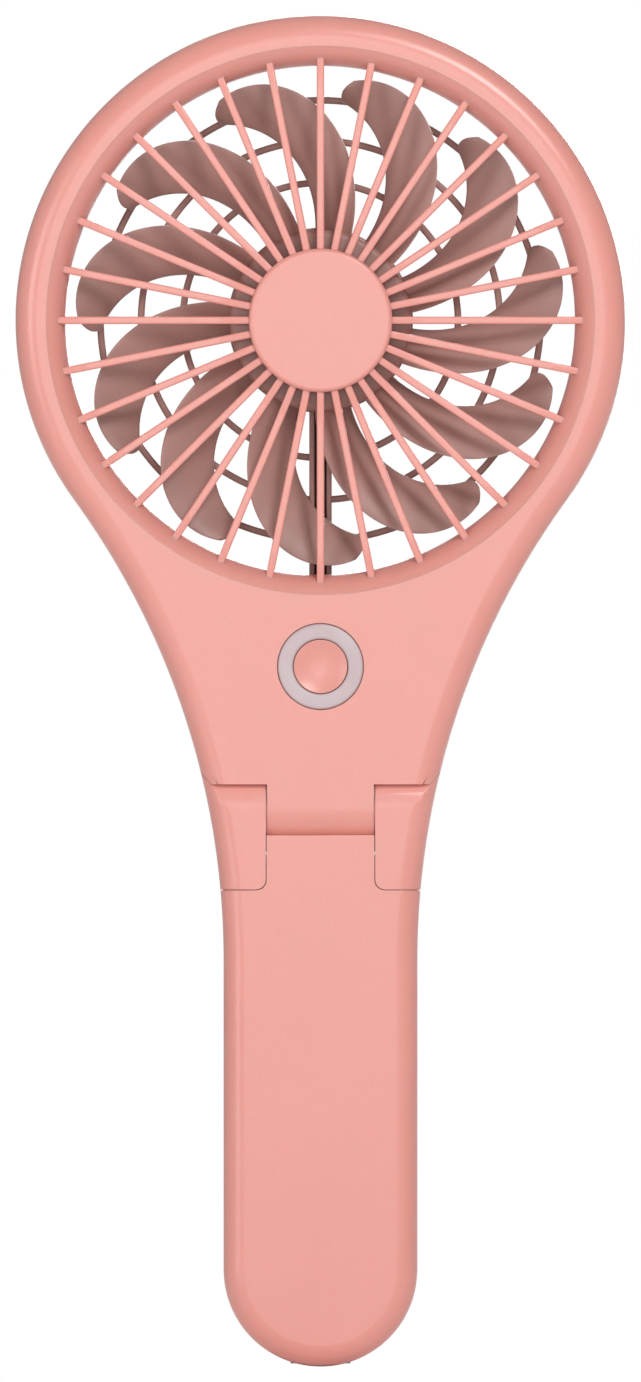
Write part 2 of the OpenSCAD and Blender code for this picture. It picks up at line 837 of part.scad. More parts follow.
handle_front_shell();
handle_rear_shell();
left_hinge_cover();
right_hinge_cover();
left_hinge_pin();
right_hinge_pin();
hinge_washers();
handle_screws();
battery_cell();
battery_leads();
charge_board();
usb_socket();
supply_lead();
head_front_shell();
head_rear_shell();
head_screws();
front_grille();
grille_cap();
rear_grille();
sleeve_bearing();
stator_core();
stator_coils();
driver_board();
motor_leads();
control_board();
board_screws();
control_lead();
led_chips();
light_ring();
switch_body();
fan_rotor();
motor_shaft();
rotor_yoke();
magnet_ring();
shaft_clip();
power_button();
switch_plunger();
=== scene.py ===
import json
import math
import bmesh
import bpy
import numpy as np
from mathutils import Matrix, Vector


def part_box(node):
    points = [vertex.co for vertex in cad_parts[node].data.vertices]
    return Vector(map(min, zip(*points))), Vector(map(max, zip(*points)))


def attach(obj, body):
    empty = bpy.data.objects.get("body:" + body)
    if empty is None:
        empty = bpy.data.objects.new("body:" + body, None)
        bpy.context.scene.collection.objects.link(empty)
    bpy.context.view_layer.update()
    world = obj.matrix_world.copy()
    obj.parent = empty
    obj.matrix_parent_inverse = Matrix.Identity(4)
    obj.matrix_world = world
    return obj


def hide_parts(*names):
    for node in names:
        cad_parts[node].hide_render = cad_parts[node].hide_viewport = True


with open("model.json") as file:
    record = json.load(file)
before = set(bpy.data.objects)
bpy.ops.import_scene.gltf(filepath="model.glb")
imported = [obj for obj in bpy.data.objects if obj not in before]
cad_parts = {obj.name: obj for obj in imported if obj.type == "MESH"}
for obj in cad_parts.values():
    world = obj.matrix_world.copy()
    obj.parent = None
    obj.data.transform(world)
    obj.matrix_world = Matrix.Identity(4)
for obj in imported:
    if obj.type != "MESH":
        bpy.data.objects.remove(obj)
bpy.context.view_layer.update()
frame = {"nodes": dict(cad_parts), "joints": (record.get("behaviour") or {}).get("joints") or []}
scene = bpy.context.scene
mm = 0.001  # shapes are drawn in millimetres and scaled once, when they are finished
print("frame loaded:", len(frame["nodes"]), "nodes")


# ---- places that the frame gives, in millimetres ----
def corners(node):
    low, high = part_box(node)
    return low / mm, high / mm


def jointAt(name):
    joint = next(j for j in frame["joints"] if j["name"] == name)
    return Vector(joint["pos_m"]) / mm


headLow, headHigh = corners("head_front_shell")
gripLow, gripHigh = corners("handle_front_shell")
headR, gripHalf, halfDeep = headHigh.x, gripHigh.x, -headLow.y
fanZ, foldZ = jointAt("fan_spin").z, jointAt("head_fold").z
tipZ = gripLow.z
endZ = tipZ + gripHalf  # centre of the handle's round end
ringLow, ringHigh = corners("light_ring")
buttonZ = (ringLow.z + ringHigh.z) / 2
capR = corners("grille_cap")[1].x


# ---- shader maths: a socket that takes part in sums ----
class Wire:
    def __init__(self, tree, socket):
        self.tree, self.socket = tree, socket

    def math(self, operation, *terms, clamp=False):
        node = self.tree.nodes.new("ShaderNodeMath")
        node.operation, node.use_clamp = operation, clamp
        for slot, term in zip(node.inputs, terms):
            if isinstance(term, Wire):
                self.tree.links.new(term.socket, slot)
            else:
                slot.default_value = term
        return Wire(self.tree, node.outputs[0])

    def __add__(self, other):
        return self.math("ADD", self, other)

    def __sub__(self, other):
        return self.math("SUBTRACT", self, other)

    def __rsub__(self, other):
        return self.math("SUBTRACT", other, self)

    def __mul__(self, other):
        return self.math("MULTIPLY", self, other)

    def __rtruediv__(self, other):
        return self.math("DIVIDE", other, self)

    def __pow__(self, other):
        return self.math("POWER", self, other)

    __radd__, __rmul__ = __add__, __mul__

    def step(self, low, high):  # 0 below low, 1 above high
        return self.math("MULTIPLY", self - low, 1 / (high - low), clamp=True)


def tint(red, green, blue):  # a colour as a paint chart gives it, 0 to 255, made linear
    return tuple(((c / 255 + 0.055) / 1.055) ** 2.4 for c in (red, green, blue)) + (1.0,)


# ---- one finish: a Principled shader with noise, masks and bumps ----
class Finish:
    def __init__(self, name, **constants):
        self.material = bpy.data.materials.new(name)
        self.material.use_nodes = True
        self.tree = self.material.node_tree
        self.shader = self.tree.nodes["Principled BSDF"]
        for socket, value in constants.items():
            self.shader.inputs[socket.replace("_", " ")].default_value = value
        self.place = self.node("ShaderNodeTexCoord").outputs["Object"]

    def node(self, kind, settings=None, inputs=None):
        made = self.tree.nodes.new(kind)
        for name, value in (settings or {}).items():
            setattr(made, name, value)
        for name, value in (inputs or {}).items():
            if isinstance(value, Wire):
                value = value.socket
            if isinstance(value, bpy.types.NodeSocket):
                self.tree.links.new(value, made.inputs[name])
            else:
                made.inputs[name].default_value = value
        return made

    def noise(self, scale, detail=2.0, stretch=None):  # scale in features for each metre
        at = self.place
        if stretch:
            at = self.node("ShaderNodeMapping", None, {"Vector": at, "Scale": stretch}).outputs[0]
        made = self.node("ShaderNodeTexNoise", None, {"Vector": at, "Scale": scale, "Detail": detail})
        return Wire(self.tree, made.outputs[0])

    def along(self, axis):  # one object coordinate, in metres
        made = self.node("ShaderNodeSeparateXYZ", None, {0: self.place})
        return Wire(self.tree, made.outputs[axis])

    def mark(self, name):  # a number kept on the mesh
        made = self.node("ShaderNodeAttribute", {"attribute_name": name})
        return Wire(self.tree, made.outputs["Fac"])

    def blend(self, mask, first, second):
        made = self.node("ShaderNodeMix", {"data_type": "RGBA"}, {0: mask, 6: first, 7: second})
        return made.outputs[2]

    def scaled(self, colour, amount):
        made = self.node("ShaderNodeVectorMath", {"operation": "SCALE"}, {0: colour})
        self.tree.links.new(amount.socket, made.inputs["Scale"])
        return made.outputs[0]

    def feed(self, socket, value):
        value = value.socket if isinstance(value, Wire) else value
        self.tree.links.new(value, self.shader.inputs[socket])

    def bump(self, height, depth, strength=1.0):  # depth in metres
        made = self.node("ShaderNodeBump", None, {"Height": height, "Distance": depth, "Strength": strength})
        self.feed("Normal", made.outputs[0])
        return self


# ---- finishes ----
plasticLook = dict(
    face=tint(229, 156, 145), shade=tint(223, 150, 139), wearAndHighlight=tint(234, 172, 162), rough=0.28,
    deep=0.4, glow=(1.0, 0.28, 0.2), reach=0.0013, gloss=0.45,
    grain=2600, grainDepth=0.00002, mottle=55, speckle=4200,
)


def mouldedPlastic(name, look):
    finish = Finish(name, Roughness=look["rough"], IOR=1.46, Subsurface_Weight=look["deep"],
                    Subsurface_Radius=look["glow"], Subsurface_Scale=look["reach"],
                    Coat_Weight=look["gloss"], Coat_Roughness=0.3)
    mottle = finish.noise(look["mottle"], 3.0)
    speckle = finish.noise(look["speckle"], 1.0)
    grain = finish.noise(look["grain"], 2.0)
    edge = finish.mark("edge") * finish.noise(900, 3.0).step(0.35, 0.62)
    cloud = mottle.step(0.3, 0.7) * 0.5 + speckle.step(0.3, 0.7) * 0.5
    base = finish.blend(cloud, look["shade"], look["face"])
    # lighter colour on the edge mark: wear on the body's bevels, a painted highlight on the blade edges
    base = finish.blend(edge * 0.5, base, look["wearAndHighlight"])
    # painted shadow: darker outwards from the fan axis, where the ring shades the blades and the guard
    if "paintedShadow" in look:
        sideways, up = finish.along(0), finish.along(2) - fanZ * mm
        start, end, left = look["paintedShadow"]
        outward = ((sideways**2 + up**2) ** 0.5).step(start, end)
        base = finish.scaled(base, 1 - outward * (1 - left))
    finish.feed("Base Color", base)
    finish.feed("Roughness", look["rough"] - 0.06 + 0.12 * mottle + 0.08 * speckle - 0.08 * edge)
    return finish.bump(grain, look["grainDepth"]).material


# rotor and rear guard: the body's pink painted darker, painted shade for the shadow inside the fan ring
shadedBladeLook = dict(
    # the lighter edge colour here is a painted highlight where the blade edges catch the light
    plasticLook, face=tint(175, 136, 128), shade=tint(167, 128, 120), wearAndHighlight=tint(204, 160, 151),
    rough=0.45, deep=0.05, gloss=0.1,
    paintedShadow=(0.030, 0.041, 0.8),  # painted shadow of the fan ring: the outer half is a little darker; from where, to where, how much is left
)


def milkyLens(name):
    finish = Finish(name, Roughness=0.45, IOR=1.5, Coat_Roughness=0.4)
    cloud = finish.noise(160, 3.0).step(0.3, 0.7)
    finish.feed("Base Color", finish.blend(cloud, tint(192, 172, 175), tint(200, 184, 186)))
    finish.feed("Roughness", 0.42 + 0.08 * finish.noise(700, 2.0))
    finish.feed("Coat Weight", 0.1 + 0.1 * cloud)
    return finish.material


def brushedSteel(name):
    finish = Finish(name, Metallic=1.0, Roughness=0.3)
    streak = finish.noise(900, 3.0, stretch=(1, 1, 0.08))
    stain = finish.noise(220, 3.0).step(0.45, 0.75)
    finish.feed("Base Color", finish.blend(stain * 0.5, tint(158, 158, 161), tint(118, 115, 113)))
    finish.feed("Roughness", 0.22 + 0.2 * streak + 0.12 * stain)
    return finish.bump(streak, 0.00001).material


def batteryWrap(name):
    finish = Finish(name, Roughness=0.4)
    height = finish.along(2)
    band = height.math("ABSOLUTE", height).step(0.0212, 0.0216)
    crease = finish.noise(420, 4.0, stretch=(1, 1, 0.4))
    wrap = finish.blend(crease.step(0.35, 0.65), tint(128, 142, 160), tint(150, 163, 180))
    finish.feed("Base Color", finish.blend(band, wrap, tint(196, 150, 60)))
    finish.feed("Metallic", 0.75 - 0.7 * band)
    finish.feed("Roughness", 0.28 + 0.25 * crease)
    return finish.bump(crease, 0.00008).material


def leadJacket(name):
    finish = Finish(name, Roughness=0.45)
    scuff = finish.noise(1500, 3.0)
    finish.feed("Base Color", finish.blend(scuff.step(0.4, 0.7), tint(28, 28, 30), tint(52, 50, 52)))
    finish.feed("Roughness", 0.35 + 0.25 * scuff)
    return finish.bump(scuff, 0.00001).material


def circuitBoard(name):
    finish = Finish(name, Roughness=0.35)
    sideways, up = finish.along(0), finish.along(2)
    lane = finish.noise(260, 0.0, stretch=(1, 1, 0.25)).step(0.49, 0.5)
    lane = lane * (1 - finish.noise(260, 0.0, stretch=(1, 1, 0.25)).step(0.53, 0.54))
    pad = (sideways * 1400).math("SINE", sideways * 1400) * (up * 1400).math("SINE", up * 1400)
    pad = pad.step(0.86, 0.9)
    mask = finish.blend(lane, tint(18, 74, 48), tint(34, 112, 72))
    finish.feed("Base Color", finish.blend(pad, mask, tint(196, 192, 180)))
    finish.feed("Metallic", pad * 0.9)
    finish.feed("Roughness", 0.3 + 0.2 * finish.noise(900, 2.0))
    return finish.bump(lane + pad, 0.00002).material


def sinteredBronze(name):
    finish = Finish(name, Metallic=1.0, Roughness=0.45)
    pore = finish.noise(3800, 2.0).step(0.35, 0.55)
    finish.feed("Base Color", finish.blend(pore, tint(104, 74, 36), tint(182, 138, 78)))
    finish.feed("Roughness", 0.6 - 0.2 * pore)
    return finish.bump(pore, 0.00003).material


def copperWinding(name):
    finish = Finish(name, Metallic=1.0, Roughness=0.25)
    deep = finish.along(1)
    wire = (deep * 26000).math("SINE", deep * 26000) * 0.5 + 0.5
    finish.feed("Base Color", finish.blend(wire, tint(96, 44, 18), tint(214, 128, 72)))
    finish.feed("Roughness", 0.4 - 0.2 * wire)
    return finish.bump(wire, 0.0001).material


def ledLens(name):
    finish = Finish(name, Roughness=0.2)
    glow = finish.noise(1900, 2.0)
    finish.feed("Base Color", finish.blend(glow.step(0.4, 0.6), tint(226, 214, 150), tint(246, 240, 206)))
    finish.feed("Roughness", 0.15 + 0.15 * glow)
    return finish.material


def switchBlack(name):
    finish = Finish(name, Roughness=0.5)
    grit = finish.noise(2600, 3.0)
    finish.feed("Base Color", finish.blend(grit.step(0.4, 0.7), tint(22, 22, 24), tint(46, 45, 46)))
    finish.feed("Roughness", 0.45 + 0.2 * grit)
    return finish.bump(grit, 0.00002).material


def ferriteMagnet(name):
    finish = Finish(name, Roughness=0.55, Metallic=0.3)
    grit = finish.noise(3200, 4.0)
    finish.feed("Base Color", finish.blend(grit.step(0.3, 0.7), tint(38, 38, 42), tint(74, 73, 78)))
    finish.feed("Roughness", 0.45 + 0.25 * grit)
    return finish.bump(grit, 0.00003).material


def clipNylon(name):
    finish = Finish(name, Roughness=0.4, IOR=1.5)
    haze = finish.noise(1200, 3.0)
    finish.feed("Base Color", finish.blend(haze.step(0.3, 0.7), tint(214, 209, 196), tint(238, 235, 226)))
    finish.feed("Roughness", 0.35 + 0.15 * haze)
    return finish.bump(haze, 0.00001).material


finishes = {
    "body_pink": mouldedPlastic("bodyPink", plasticLook),
    "rotor_rose": mouldedPlastic("rotorRosePaintedShade", shadedBladeLook),
    "light_ring": milkyLens("ringLens"),
    "steel": brushedSteel("brushedSteel"),
    "battery_foil": batteryWrap("batteryWrap"),
    "lead_jacket": leadJacket("leadJacket"),
    "circuit_board": circuitBoard("circuitBoard"),
    "bronze": sinteredBronze("sinteredBronze"),
    "copper_wire": copperWinding("copperWinding"),
    "led_lens": ledLens("ledLens"),
    "switch_black": switchBlack("switchBlack"),
    "magnet": ferriteMagnet("ferriteMagnet"),
    "clip_nylon": clipNylon("clipNylon"),
}
print("finishes made:", len(finishes))


# ---- shapes ----
def solid(verts, faces, name="tool"):  # a closed mesh, drawn in millimetres
    mesh = bpy.data.meshes.new(name)
    mesh.from_pydata([tuple(v) for v in verts], [], faces)
    cleaned(mesh, 1e-4)
    piece = bpy.data.objects.new(name, mesh)
    scene.collection.objects.link(piece)
    return piece


def cleaned(mesh, gap):  # doubles merged first, then every face turned outwards
    work = bmesh.new()
    work.from_mesh(mesh)
    bmesh.ops.remove_doubles(work, verts=work.verts, dist=gap)
    bmesh.ops.dissolve_degenerate(work, edges=work.edges, dist=gap)
    bmesh.ops.recalc_face_normals(work, faces=work.faces)
    work.to_mesh(mesh)
    work.free()


def plain(piece):  # the evaluated shape as an ordinary mesh, with no modifiers left
    bpy.context.view_layer.update()
    graph = bpy.context.evaluated_depsgraph_get()
    mesh = bpy.data.meshes.new_from_object(piece.evaluated_get(graph), depsgraph=graph)
    piece.modifiers.clear()
    piece.data = mesh
    return piece


def fitted(piece, operation, tools):
    for tool in tools:
        cut = piece.modifiers.new("fit", "BOOLEAN")
        cut.object, cut.operation, cut.solver = tool, operation, "EXACT"
    plain(piece)
    for tool in tools:
        bpy.data.objects.remove(tool)
    return piece


def carved(piece, *tools):
    return fitted(piece, "DIFFERENCE", tools)


def joined(piece, *tools):
    return fitted(piece, "UNION", tools)


def shared(piece, *tools):
    return fitted(piece, "INTERSECT", tools)


def gathered(pieces):  # several meshes as one, with nothing cut
    verts, faces = [], []
    for piece in pieces:
        start = len(verts)
        verts += [tuple(v.co) for v in piece.data.vertices]
        faces += [tuple(start + i for i in p.vertices) for p in piece.data.polygons]
        bpy.data.objects.remove(piece)
    return solid(verts, faces)


def arc(x, z, r, start, end, steps):
    return [(x + r * math.cos(start + (end - start) * k / steps),
             z + r * math.sin(start + (end - start) * k / steps)) for k in range(steps + 1)]


def circle(x, z, r, steps=64):
    return arc(x, z, r, 0, 2 * math.pi, steps)[:-1]


def rounded(points, radii, steps=5):  # each corner of a closed section turned into a short arc
    made, count = [], len(points)
    for k in range(count):
        radius = radii[k] if isinstance(radii, (list, tuple)) else radii
        here = Vector(points[k])
        back, ahead = Vector(points[k - 1]) - here, Vector(points[(k + 1) % count]) - here
        turn = back.angle(ahead)
        reach = min(radius / math.tan(turn / 2), back.length * 0.49, ahead.length * 0.49)
        if radius <= 0 or turn > math.radians(178):
            made.append(tuple(here))
            continue
        first, last = here + back.normalized() * reach, here + ahead.normalized() * reach
        bend = reach * math.tan(turn / 2)
        middle = here + (back.normalized() + ahead.normalized()).normalized() * (bend / math.sin(turn / 2))
        spoke, swing = first - middle, last - middle
        sweep = spoke.angle_signed(swing)
        for s in range(steps + 1):
            angle = -sweep * s / steps
            cos, sin = math.cos(angle), math.sin(angle)
            made.append((middle.x + spoke.x * cos - spoke.y * sin, middle.y + spoke.x * sin + spoke.y * cos))
    return made


def tubeFaces(rings, count):  # rings of equal count joined side by side, both ends closed
    faces = []
    for ring in range(rings - 1):
        a, b = ring * count, (ring + 1) * count
        faces += [(a + j, a + (j + 1) % count, b + (j + 1) % count, b + j) for j in range(count)]
    last = (rings - 1) * count
    return faces + [tuple(range(count)), tuple(range(last, last + count))]


def prism(points, low, high):  # an outline in the front view, between two levels forward of the middle
    return solid([(x, -level, z) for level in (low, high) for x, z in points], tubeFaces(2, len(points)))


def drum(x, z, r, low, high, steps=96):
    return prism(circle(x, z, r, steps), low, high)


def across(points, start, end):  # a section in the side view, drawn about the fold axis, run across it
    return solid([(x, y, foldZ + up) for x in (start, end) for y, up in points], tubeFaces(2, len(points)))


def block(low, high):
    points = [(low[0], low[2]), (high[0], low[2]), (high[0], high[2]), (low[0], high[2])]
    return prism(points, -high[1], -low[1])


def lathe(section, z=0.0, steps=256, x=0.0):  # a closed section of (radius, forwardness), spun round an axis
    count = len(section)
    verts = [(x + r * math.sin(a), -f, z + r * math.cos(a))
             for a in (2 * math.pi * k / steps for k in range(steps)) for r, f in section]
    faces = []
    for k in range(steps):
        here, there = k * count, (k + 1) % steps * count
        for j in range(count):
            n = (j + 1) % count
            if section[j][0] > 1e-6 or section[n][0] > 1e-6:
                faces.append((here + j, here + n, there + n, there + j))
    return solid(verts, faces)


# ---- finishing: bevels, smooth shading, its finish, its body ----
def finished(piece, name, body, slot, nodes=(), bevel=0.0, sharp=38, merge=0.02):
    piece.name = name
    piece.data.name = name
    cleaned(piece.data, merge)
    piece.data.materials.clear()
    for _ in range(2):
        piece.data.materials.append(finishes[slot])
    if bevel:
        edge = piece.modifiers.new("bevel", "BEVEL")
        edge.width, edge.segments, edge.limit_method = bevel, 2, "ANGLE"
        edge.angle_limit, edge.use_clamp_overlap, edge.material = math.radians(sharp), False, 1
        plain(piece)
    mesh = piece.data
    wearAndHighlight = mesh.attributes.new("edge", "FLOAT", "FACE")
    wearAndHighlight.data.foreach_set("value", [float(p.material_index) for p in mesh.polygons])
    mesh.polygons.foreach_set("material_index", [0] * len(mesh.polygons))
    while len(mesh.materials) > 1:
        mesh.materials.pop()
    mesh.polygons.foreach_set("use_smooth", [True] * len(mesh.polygons))
    mesh.set_sharp_from_angle(angle=math.radians(sharp))
    mesh.transform([[mm, 0, 0, 0], [0, mm, 0, 0], [0, 0, mm, 0], [0, 0, 0, 1]])
    flat = piece.modifiers.new("weighted", "WEIGHTED_NORMAL")
    flat.keep_sharp, flat.weight = True, 80
    plain(piece)
    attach(piece, body)
    if nodes:
        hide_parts(*nodes)
    print("piece made:", name, len(piece.data.polygons), "faces")
    return piece


# ---- the body's outline: round head, hollow flanks, straight grip, round end ----
slabShape = dict(flankZ=20.05, edge=3.5, wall=1.6, sideWall=2.0, bevel=0.07)
flankRise = fanZ - slabShape["flankZ"]
flankR = (flankRise**2 + gripHalf**2 - headR**2) / (2 * (headR - gripHalf))
flankX = gripHalf + flankR
flankLean = math.atan2(flankRise, flankX)
faceIn = halfDeep - slabShape["wall"]


def outline(inset):
    head = arc(0, fanZ, headR - inset, -flankLean, math.pi + flankLean, 220)
    left = arc(-flankX, slabShape["flankZ"], flankR + inset, flankLean, 0, 48)
    end = arc(0, endZ, gripHalf - inset, math.pi, 2 * math.pi, 72)
    right = arc(flankX, slabShape["flankZ"], flankR + inset, math.pi, math.pi - flankLean, 48)
    return head + left[1:] + end + right[:-1]


def slab(front, back):  # the whole body, its edges rounded towards the front, the back or both
    r = slabShape["edge"]
    turn = [(r - r * math.cos(a), r - r * math.sin(a)) for a in (math.pi / 2 * k / 12 for k in range(13))]
    levels = [(inset, drop - halfDeep) for inset, drop in turn[::-1]] if back else [(0, 0)]
    levels += [(inset, halfDeep - drop) for inset, drop in turn] if front else [(0, 0)]
    verts = [(x, -level, z) for inset, level in levels for x, z in outline(inset)]
    return solid(verts, tubeFaces(len(levels), len(outline(0))))


far = 60.0  # wider than the body, for blocks that trim it


def above(z):
    return block((-far, -far / 2, z), (far, far / 2, z + 4 * far))


def below(z):
    return block((-far, -far / 2, z - 4 * far), (far, far / 2, z))


# ---- hinge: a tongue on the head between two covers on the handle ----
hinge = dict(
    shoulder=3.84, sill=4.3,  # the front seams, above and below the fold axis
    coverZ=31.3, tongue=8.54, gap=0.2, seam=0.1, corner=1.6, barrel=7.2, recess=7.35,
    pin=2.0, earX=(9.35, 10.6), earR=5.2, earFoot=(25.3, 30.5), coverIn=(13.6, 5.6),
    collar=6.95, washer=4.5,
    lip=0.4, lipLayers=((1.2, 5.9), (0.4, 4.9)),  # each layer's inset from the outline and its half depth
)
coverX = hinge["tongue"] + hinge["gap"]
rearSeam = foldZ + hinge["barrel"] + hinge["seam"]


def coverSpace(gap, side):
    x, z, r = coverX - gap, hinge["coverZ"] - gap, hinge["corner"]
    corner = arc(x + r, z + r, r, math.pi, 1.5 * math.pi, 8)
    points = [(far, z), (far, z + far), (x, z + far)] + corner
    return prism([(side * px, pz) for px, pz in points], -far / 2, far / 2)


def barrel(r, start, end, drop=0.0, rise=0.0):  # a bar round the fold axis, its block below or above
    whole = across(circle(0, 0, r, 96), start, end)
    if drop:
        return joined(whole, across([(-r, -drop), (r, -drop), (r, 0), (-r, 0)], start, end))
    if rise:
        return joined(whole, across([(-r, 0), (r, 0), (r, rise), (-r, rise)], start, end))
    return whole


# ---- screws and posts ----
screw = dict(shank=1.0, head=1.9, headDeep=1.4, seat=4.6, tip=3.4, boss=2.3, post=3.0, boardBoss=1.6,
             boardPilot=0.75, cross=(1.2, 0.28, 0.9))  # the cross: half length, half width and depth
headScrews = [(-24, 80), (24, 80), (-13, 58), (13, 58)]
gripScrews = [(0, 31), (-9.5, -31.5), (9.5, -31.5)]
boardScrews = [(-7, 58), (7, 58)]


def bosses(places, r, side):
    return [drum(x, z, r, 0, side * (faceIn + 0.2), 32) for x, z in places]


def pilots(places):
    return [drum(x, z, screw["shank"], -1, 4.5, 24) for x, z in places]


def screwWays(places):
    ways = [drum(x, z, screw["shank"] + 0.15, -halfDeep, 1, 24) for x, z in places]
    return ways + [drum(x, z, screw["head"] + 0.1, -halfDeep - 1, -screw["seat"], 48) for x, z in places]


# ---- head shells ----
headShape = dict(
    lip=45.4, hole=43.9, duct=(42.4, 43.8),
    neckRoom=(16.5, 29, 84), roomZ=54,  # half width at the bottom and the top, and where it is widest
    leadWay=(0.95, 4, 5.5, 44.5, 38.5),  # half width, depths, and its two ends below the fan axis
)


def headRoom(r, side):
    wide, wider, up = headShape["neckRoom"]
    room = joined(
        drum(0, fanZ, headR - slabShape["sideWall"], -side, side * faceIn, 160),
        prism([(-wide, headShape["roomZ"]), (wide, headShape["roomZ"]), (wider, up), (wider, 90),
               (-wider, 90), (-wider, up)], -side, side * faceIn),
    )
    return carved(room, drum(0, fanZ, r, -2 * side, side * halfDeep, 160))


def makeHeadFront():
    shell = carved(slab(True, False), headRoom(headShape["lip"], 1), below(foldZ + hinge["shoulder"]),
                   barrel(hinge["recess"], -far, far))
    shell = joined(shell, barrel(hinge["barrel"], -hinge["tongue"], hinge["tongue"], rise=hinge["barrel"]),
                   *bosses(headScrews, screw["boss"], 1),
                   *[drum(x, z, screw["boardBoss"], 1, faceIn + 0.2, 24) for x, z in boardScrews])
    shell = carved(shell, drum(0, fanZ, headShape["hole"], -1, halfDeep + 1, 320),
                   drum(0, buttonZ, ringHigh.x - 0.75, 0, halfDeep + 1),
                   barrel(hinge["pin"] + 0.05, -gripHalf, gripHalf), *pilots(headScrews),
                   *[drum(x, z, screw["boardPilot"], 0, 5, 24) for x, z in boardScrews])
    return finished(shell, "headFront", "head", "body_pink", ["head_front_shell"], slabShape["bevel"])


def makeHeadRear():
    shell = carved(slab(False, True), headRoom(headShape["duct"][1], -1), below(rearSeam))
    shell = joined(shell, *bosses(headScrews, screw["post"], -1))
    half, near, back, outer, inner = headShape["leadWay"]
    shell = carved(shell, drum(0, fanZ, headShape["duct"][0], -halfDeep - 1, 1, 256), *screwWays(headScrews),
                   block((-half, near, fanZ - outer), (half, back, fanZ - inner)))
    return finished(shell, "headRear", "head", "body_pink", ["head_rear_shell"], slabShape["bevel"])


# ---- handle shells and hinge covers ----
roomTop = 30
tongueRoom = dict(half=7.3, deep=6.6, low=roomTop - 1, high=35.2)
earRoom = dict(x=11, half=2, high=32)
socketHole = dict(x=3.2, r=1.7, deep=8.4)


def gripRoom(side):
    inner = [(x, z) for x, z in outline(slabShape["sideWall"]) if z < roomTop]
    inner = sorted([p for p in inner if p[0] < 0], key=lambda p: -p[1]) \
        + sorted([p for p in inner if p[0] >= 0], key=lambda p: p[1])
    room = prism(inner + [(inner[-1][0], roomTop), (inner[0][0], roomTop)], -side, side * faceIn)
    wide, deep, low = tongueRoom["half"], tongueRoom["deep"], tongueRoom["low"]
    slots = [block((-wide, -deep, low), (wide, deep, tongueRoom["high"]))]
    for x in (-earRoom["x"], earRoom["x"]):
        slots += [block((x - earRoom["half"], -deep, low), (x + earRoom["half"], deep, earRoom["high"]))]
    depth = block((-far, min(side, -side * faceIn), -far), (far, max(side, -side * faceIn), far))
    return shared(joined(room, *slots), depth)


def socketSlot():
    x, r = socketHole["x"], socketHole["r"]
    points = arc(x, 0, r, -math.pi / 2, math.pi / 2, 12) + arc(-x, 0, r, math.pi / 2, 1.5 * math.pi, 12)
    levels = (tipZ - 1, tipZ + socketHole["deep"])
    return solid([(x, y, z) for z in levels for x, y in points], tubeFaces(2, len(points)))


def makeGripFront():
    shell = carved(slab(True, False), gripRoom(1), above(foldZ - hinge["sill"]),
                   coverSpace(hinge["seam"], 1), coverSpace(hinge["seam"], -1),
                   barrel(hinge["recess"], -coverX, coverX))
    shell = joined(shell, *bosses(gripScrews, screw["boss"], 1))
    shell = carved(shell, *pilots(gripScrews), socketSlot())
    return finished(shell, "gripFront", "handle", "body_pink", ["handle_front_shell"], slabShape["bevel"])


def makeGripRear():
    shell = carved(slab(False, True), gripRoom(-1), above(foldZ - hinge["recess"]),
                   coverSpace(hinge["seam"], 1), coverSpace(hinge["seam"], -1))
    ears = []
    for s in (-1, 1):
        x0, x1 = sorted((s * hinge["earX"][0], s * hinge["earX"][1]))
        r, (foot, top) = hinge["earR"], hinge["earFoot"]
        ears += [joined(across(circle(0, 0, r, 48), x0, x1), block((x0, -r, foot), (x1, r, foldZ)),
                        block((x0, 0, foot), (x1, faceIn + 0.2, top)))]
    shell = joined(shell, *bosses(gripScrews, screw["post"], -1), *ears)
    shell = carved(shell, *screwWays(gripScrews), barrel(hinge["pin"], -gripHalf, gripHalf), socketSlot())
    return finished(shell, "gripRear", "handle", "body_pink", ["handle_rear_shell"], slabShape["bevel"])


def coverLip(side):  # lies under the seams round a cover, so that no light comes through them
    layers = [shared(coverSpace(hinge["lip"], side), prism(outline(inset), -deep, deep))
              for inset, deep in hinge["lipLayers"]]
    return carved(joined(*layers), above(foldZ - hinge["recess"] - 0.05))


def makeCover(side, name, node):
    cover = shared(slab(True, True), coverSpace(0, side),
                   barrel(hinge["barrel"], *sorted((0.0, side * far)), drop=foldZ - hinge["coverZ"]))
    inX, inR = hinge["coverIn"]
    cover = carved(joined(cover, coverLip(side)), barrel(inR, *sorted((0.0, side * inX)), drop=20))
    ends = sorted((side * (hinge["tongue"] + 0.01), side * (coverX + 0.3)))
    collar = carved(barrel(hinge["collar"], *ends), barrel(hinge["washer"], -far, far))
    return finished(joined(cover, collar), name, "handle", "body_pink", [node], slabShape["bevel"])


makeHeadFront()
makeHeadRear()
makeGripFront()
makeGripRear()
makeCover(-1, "leftCover", "left_hinge_cover")
makeCover(1, "rightCover", "right_hinge_cover")
print("shells made")


# ---- Geometry Nodes: the named inputs of a tree, and its one shape out ----
def sockets(tree, **kinds):
    for label, kind in kinds.items():
        tree.interface.new_socket(label, in_out="INPUT", socket_type="NodeSocket" + kind)
    tree.interface.new_socket("Shape", in_out="OUTPUT", socket_type="NodeSocketGeometry")


